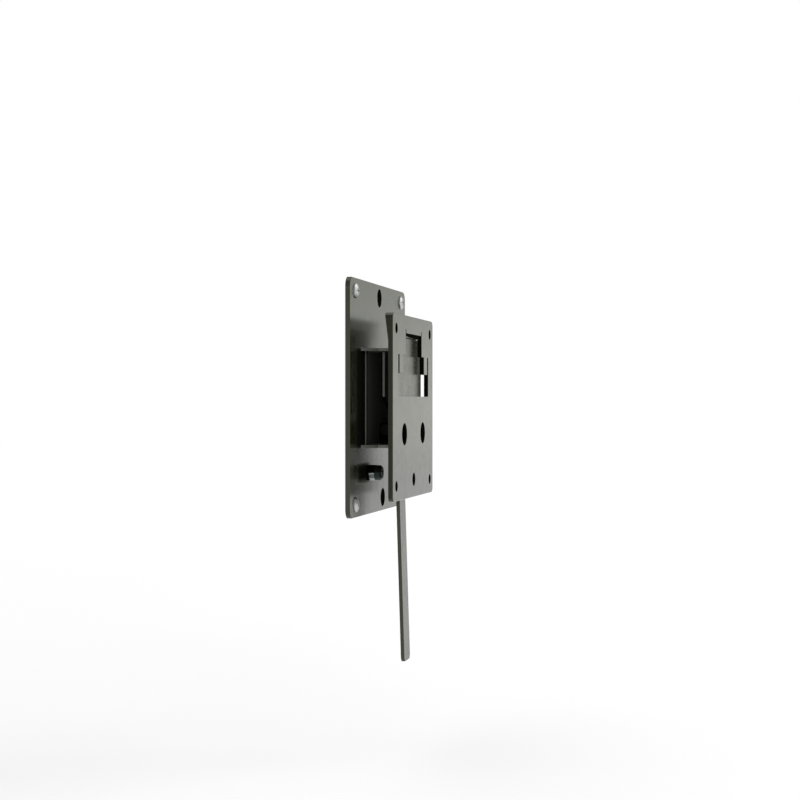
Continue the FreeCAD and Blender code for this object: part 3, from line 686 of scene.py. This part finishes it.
# %% Screw head
HEAD_SIDES, HEAD_RINGS = 48, 9
DOME_POWER = 3.0
blank = step(tree, "GeometryNodeMeshCone", {
    "Radius Top": size["Head radius"],
    "Radius Bottom": size["Head radius"],
    "Depth": size["Head height"],
}, Vertices=HEAD_SIDES, Fill_Segments=HEAD_RINGS)
place = tree.nodes.new("GeometryNodeInputPosition")
x, y, z = parts_of(tree, place.outputs[0])
squares = maths(tree, "ADD", maths(tree, "MULTIPLY", x, x), maths(tree, "MULTIPLY", y, y))
share = maths(tree, "DIVIDE", maths(tree, "SQRT", squares), size["Head radius"])
fall = maths(tree, "SUBTRACT", 1.0, maths(tree, "POWER", share, DOME_POWER))
dome_height = maths(tree, "SUBTRACT", size["Head height"], size["Rim height"])
dome = maths(tree, "MULTIPLY", dome_height, maths(tree, "MAXIMUM", fall, 0.0))
crown = vector(tree, x, y, maths(tree, "ADD", size["Rim height"], dome))
on_top = maths(tree, "GREATER_THAN", z, maths(tree, "MULTIPLY", size["Head height"], 0.5))
head = step(tree, "GeometryNodeSetPosition", {
    "Geometry": blank.outputs["Mesh"], "Position": crown, "Selection": on_top})
print("steps for the head:", len(tree.nodes))

# %% [markdown]
# ## Recess and shank
# The driver's cross is two crossed bars sunk into the dome by a boolean, as the punch does it in the
# factory. The shank is a plain cylinder that ends in the plate's hole, because its thread is never seen.

# %% Recess and shank
SHANK_SIDES = 32
twice_deep = maths(tree, "MULTIPLY", size["Recess depth"], 2.0)
sunk = step(tree, "GeometryNodeMeshBoolean", {"Mesh 1": head.outputs[0]})
sunk.operation = "DIFFERENCE"
sunk.solver = "EXACT"
sunk.inputs["Self Intersection"].default_value = True
sunk.inputs["Hole Tolerant"].default_value = True
for wide, narrow in (("Recess length", "Recess width"), ("Recess width", "Recess length")):
    bar = step(tree, "GeometryNodeMeshCube", {"Size": vector(tree, size[wide], size[narrow], twice_deep)})
    raised = step(tree, "GeometryNodeTransform", {
        "Geometry": bar.outputs["Mesh"], "Translation": vector(tree, z=size["Head height"])})
    join(tree, raised.outputs[0], sunk.inputs["Mesh 2"])
rod = step(tree, "GeometryNodeMeshCylinder", {
    "Radius": size["Shank radius"], "Depth": size["Shank length"]}, Vertices=SHANK_SIDES)
half_down = maths(tree, "MULTIPLY", size["Shank length"], -0.5)
shank = step(tree, "GeometryNodeTransform", {
    "Geometry": rod.outputs["Mesh"], "Translation": vector(tree, z=half_down)})
screw = tree.nodes.new("GeometryNodeJoinGeometry")
join(tree, sunk.outputs["Mesh"], screw.inputs[0])
join(tree, shank.outputs[0], screw.inputs[0])
print("steps for one screw:", len(tree.nodes))

# %% [markdown]
# ## Four corners
# One screw is set on the four points of a grid. Copies by hand would all show the same cross, so each gets
# its own stop angle from a random value with a fixed seed. The grid is made flat, then turned upright and
# moved to the front of the plate.

# %% Four corners
STOP_SEED = 5
corners = step(tree, "GeometryNodeMeshGrid", {
    "Size X": size["Columns apart"], "Size Y": size["Rows apart"]}, Vertices_X=2, Vertices_Y=2)
stop_angle = tree.nodes.new("FunctionNodeRandomValue")
stop_angle.inputs["Seed"].default_value = STOP_SEED
turn_max = next(s for s in stop_angle.inputs if s.name == "Max" and s.type == "VALUE")
turn_max.default_value = math.pi / 2
turn = next(s for s in stop_angle.outputs if s.type == "VALUE")
placed = step(tree, "GeometryNodeInstanceOnPoints", {
    "Points": corners.outputs["Mesh"], "Instance": screw.outputs[0], "Rotation": vector(tree, z=turn)})
real = step(tree, "GeometryNodeRealizeInstances", {"Geometry": placed.outputs[0]})
forward = maths(tree, "MULTIPLY", size["Plate thickness"], -1.0)
upright = step(tree, "GeometryNodeTransform", {
    "Geometry": real.outputs[0], "Translation": vector(tree, y=forward)})
upright.inputs["Rotation"].default_value = (math.pi / 2, 0.0, 0.0)
close_tree(tree, upright.outputs[0])
corner_screws = made_by("corner_screws", tree, SCREW_SIZES, zinc)
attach(corner_screws, "mount")
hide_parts("wall_screws")

# %% [markdown]
# ## Return spring
# A torsion spring sits on the lever pin. Its front leg pushes the lever back, its rear leg has a foot on the
# bracket. The solid is wound from square wire to keep it light. The sizes of the round one could be measured
# by hand. Here they come from the boxes of the solid spring and the pin, so both fill the same room.

# %% Spring sizes
WIRE_RADIUS = 0.0004
FOOT_CLEARANCE = 0.00008
spring_low, spring_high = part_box("return_spring")
pin_low, pin_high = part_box("lever_pin")
pivot_y = round((pin_low[1] + pin_high[1]) / 2, 4)
pivot_z = round((pin_low[2] + pin_high[2]) / 2, 4)
coil_radius = pivot_y - spring_low[1] - WIRE_RADIUS
SPRING_SIZES = {
    "Coil radius": coil_radius,
    "Wire radius": WIRE_RADIUS,
    "Coil length": spring_high[0] - spring_low[0] - 2 * WIRE_RADIUS,
    "Leg length": spring_high[2] - pivot_z - WIRE_RADIUS,
    "Foot length": spring_high[1] - pivot_y - coil_radius - FOOT_CLEARANCE,
    "Pivot depth": pivot_y,
    "Pivot height": pivot_z,
}
tree, size = new_tree("return_spring_wire", SPRING_SIZES)
print("spring sizes:", {label: round(value * 1000, 2) for label, value in SPRING_SIZES.items()})

# %% [markdown]
# ## Spring wire
# The wire is wound on a rod and its two ends are bent out straight. A spiral curve and three short lines
# carry a round wire, swept along them, which a screw modifier would not do with the legs.

# %% Spring wire
WIRE_SIDES = 12
TURNS, STEPS_A_TURN = 3.5, 28
coil = step(tree, "GeometryNodeCurveSpiral", {
    "Start Radius": size["Coil radius"],
    "End Radius": size["Coil radius"],
    "Height": size["Coil length"],
}, Resolution=STEPS_A_TURN, Rotations=TURNS)
front, side = size["Coil radius"], size["Coil length"]
rear = maths(tree, "MULTIPLY", front, -1.0)
leg_end = maths(tree, "MULTIPLY", size["Leg length"], -1.0)
foot_end = maths(tree, "SUBTRACT", rear, size["Foot length"])
runs = [
    (vector(tree, front), vector(tree, front, leg_end)),
    (vector(tree, rear, z=side), vector(tree, rear, leg_end, side)),
    (vector(tree, rear, leg_end, side), vector(tree, foot_end, leg_end, side)),
]
wire = tree.nodes.new("GeometryNodeJoinGeometry")
join(tree, coil.outputs["Curve"], wire.inputs[0])
for start, end in runs:
    run = step(tree, "GeometryNodeCurvePrimitiveLine", {"Start": start, "End": end})
    join(tree, run.outputs["Curve"], wire.inputs[0])
section = step(tree, "GeometryNodeCurvePrimitiveCircle", {
    "Radius": size["Wire radius"]}, Resolution=WIRE_SIDES)
round_wire = step(tree, "GeometryNodeCurveToMesh", {
    "Curve": wire.outputs[0], "Profile Curve": section.outputs["Curve"]}, Fill_Caps=True)
print("straight runs:", len(runs), "steps:", len(tree.nodes))

# %% [markdown]
# ## Spring in its place
# The coil is made round the Z axis, so it is centred, laid along the pin and moved to the pivot.
# When the lever is pulled, the front leg goes with it and the rear leg stays. Riding on one body would make
# the wire cut the lever, so here it is baked in place and rides on no body.

# %% Spring in its place
half_back = maths(tree, "MULTIPLY", size["Coil length"], -0.5)
centred = step(tree, "GeometryNodeTransform", {
    "Geometry": round_wire.outputs[0], "Translation": vector(tree, z=half_back)})
seated = step(tree, "GeometryNodeTransform", {
    "Geometry": centred.outputs[0],
    "Translation": vector(tree, y=size["Pivot depth"], z=size["Pivot height"]),
})
seated.inputs["Rotation"].default_value = (-math.pi / 2, 0.0, -math.pi / 2)
close_tree(tree, seated.outputs[0])
spring_wire = made_by("return_spring_wire", tree, SPRING_SIZES, spring_steel)
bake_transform(spring_wire)
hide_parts("return_spring")

# %% [markdown]
# ## Floor
# A sheet of white paper lies below the hanging lever and takes its shadow. It could be a curved backdrop,
# but one flat face is enough, because the room behind it is white too.

# %% Floor
FLOOR_DROP = 0.06
HALF_FLOOR = 7.0
low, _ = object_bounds()
floor_level = low[2] - FLOOR_DROP
floor_mesh = bpy.data.meshes.new("floor")
corner_signs = ((-1, -1), (1, -1), (1, 1), (-1, 1))
floor_corners = [(a * HALF_FLOOR, b * HALF_FLOOR, floor_level) for a, b in corner_signs]
floor_mesh.from_pydata(floor_corners, [], [(0, 1, 2, 3)])
floor = bpy.data.objects.new("floor", floor_mesh)
scene.collection.objects.link(floor)
print("floor at", round(floor_level, 4))

# %% [markdown]
# ## White paper
# Plain paper would turn grey towards the horizon. More lamps could light it there, but they would light the
# mount as well. A glow that grows with distance keeps the far paper as white as the room and leaves the
# shadow near the mount. It is there for the camera and in mirror images only, so it lights nothing.

# %% White paper
NEAR, FAR = 0.3, 2.5
NEAR_GLOW, FAR_GLOW = 0.05, 0.29
PAPER_SCALE = 3.0
PAPER_DULL, PAPER_PALE = (0.88, 0.88, 0.88), (0.90, 0.90, 0.90)


def seen_rays(tree):
    """The ray types of a tree, and a mask of the rays that see a thing directly or in a mirror."""
    rays = tree.nodes.new("ShaderNodeLightPath").outputs
    return rays, maths(tree, "MAXIMUM", rays["Is Camera Ray"], rays["Is Glossy Ray"])


paper, tree = new_finish("white_paper")
coords = tree.nodes.new("ShaderNodeTexCoord")
matt = add_node(tree, "ShaderNodeBsdfDiffuse")
paper_tone = two_tone(tree, grain(tree, coords, PAPER_SCALE), PAPER_DULL, PAPER_PALE)
join(tree, paper_tone, matt.inputs["Color"])
distance = tree.nodes.new("ShaderNodeVectorMath")
distance.operation = "LENGTH"
join(tree, coords.outputs["Object"], distance.inputs[0])
lift = tree.nodes.new("ShaderNodeEmission")
glow = ramp_between(tree, distance.outputs["Value"], NEAR, FAR, NEAR_GLOW, FAR_GLOW)
join(tree, glow, lift.inputs["Strength"])
lifted = tree.nodes.new("ShaderNodeAddShader")
join(tree, matt.outputs["BSDF"], lifted.inputs[0])
join(tree, lift.outputs["Emission"], lifted.inputs[1])
_, seen = seen_rays(tree)
pick = tree.nodes.new("ShaderNodeMixShader")
join(tree, seen, pick.inputs["Fac"])
join(tree, matt.outputs["BSDF"], pick.inputs[1])
join(tree, lifted.outputs["Shader"], pick.inputs[2])
output = tree.nodes.new("ShaderNodeOutputMaterial")
join(tree, pick.outputs["Shader"], output.inputs["Surface"])
floor_mesh.materials.append(paper)
print("paper:", paper.name, "on", floor.name)

# %% [markdown]
# ## Room
# The room is plain white, a little dimmer as a light than as a picture, so that the lamps still shape
# things. In mirror images it is brightest level with the eye and darkens upwards, as a room does above its
# windows, and has a faint olive tint. A clear skin mirrors white as white, so a tint of the paint alone
# would not show on plates seen this flat.

# %% Room
ROOM_LIGHT = 0.80
MIRRORED_TINT = (0.985, 1.0, 0.94)
WHITE = (1.0, 1.0, 1.0)
LOW_RISE, HIGH_RISE = 0.0, 0.14
LOW_LEVEL, HIGH_LEVEL = 1.18, 0.48
world = bpy.data.worlds.new("white_room")
scene.world = world
world.use_nodes = True
tree = world.node_tree
tree.nodes.clear()
rays, seen = seen_rays(tree)
dim_room = add_node(tree, "ShaderNodeBackground", Color=(*WHITE, 1.0), Strength=ROOM_LIGHT)
white_room = tree.nodes.new("ShaderNodeBackground")
direction = tree.nodes.new("ShaderNodeTexCoord")
rise = parts_of(tree, direction.outputs["Generated"])[2]
overhead = ramp_between(tree, rise, LOW_RISE, HIGH_RISE, LOW_LEVEL, HIGH_LEVEL)
mirrored = maths(tree, "MULTIPLY", overhead, maths(tree, "SUBTRACT", 1.0, rays["Is Camera Ray"]))
join(tree, maths(tree, "ADD", mirrored, rays["Is Camera Ray"]), white_room.inputs["Strength"])
join(tree, two_tone(tree, rays["Is Camera Ray"], MIRRORED_TINT, WHITE), white_room.inputs["Color"])
pick = tree.nodes.new("ShaderNodeMixShader")
join(tree, maths(tree, "MAXIMUM", seen, rays["Is Transmission Ray"]), pick.inputs["Fac"])
join(tree, dim_room.outputs["Background"], pick.inputs[1])
join(tree, white_room.outputs["Background"], pick.inputs[2])
output = tree.nodes.new("ShaderNodeOutputWorld")
join(tree, pick.outputs["Shader"], output.inputs["Surface"])
print("room:", world.name, "light", ROOM_LIGHT)

# %% [markdown]
# ## Lamps
# Three large soft lamps: one from the front right for the front plate, a weak one from the left for the
# edges that face the camera, and one overhead that puts the shadow on the floor. Large lamps give soft
# borders, as a photographer's soft boxes do. The plain colour transform keeps the whites of the picture
# white.

# %% Lamps
def soft_lamp(name, place, aim, size, watts):
    data = bpy.data.lights.new(name, "AREA")
    data.shape = "SQUARE"
    data.size = size
    data.energy = watts
    lamp = bpy.data.objects.new(name, data)
    lamp.location = place
    lamp.rotation_euler = (Vector(aim) - Vector(place)).to_track_quat("-Z", "Y").to_euler()
    scene.collection.objects.link(lamp)


CENTRE = (0.0, -0.02, -0.04)
soft_lamp("front_right_lamp", place=(0.9, -1.5, 1.0), aim=CENTRE, size=1.0, watts=10.0)
soft_lamp("left_lamp", place=(-1.6, -0.9, 0.7), aim=CENTRE, size=1.0, watts=4.0)
soft_lamp("top_lamp", place=(0.0, 0.3, 1.8), aim=CENTRE, size=1.2, watts=5.0)
scene.view_settings.view_transform = "Standard"
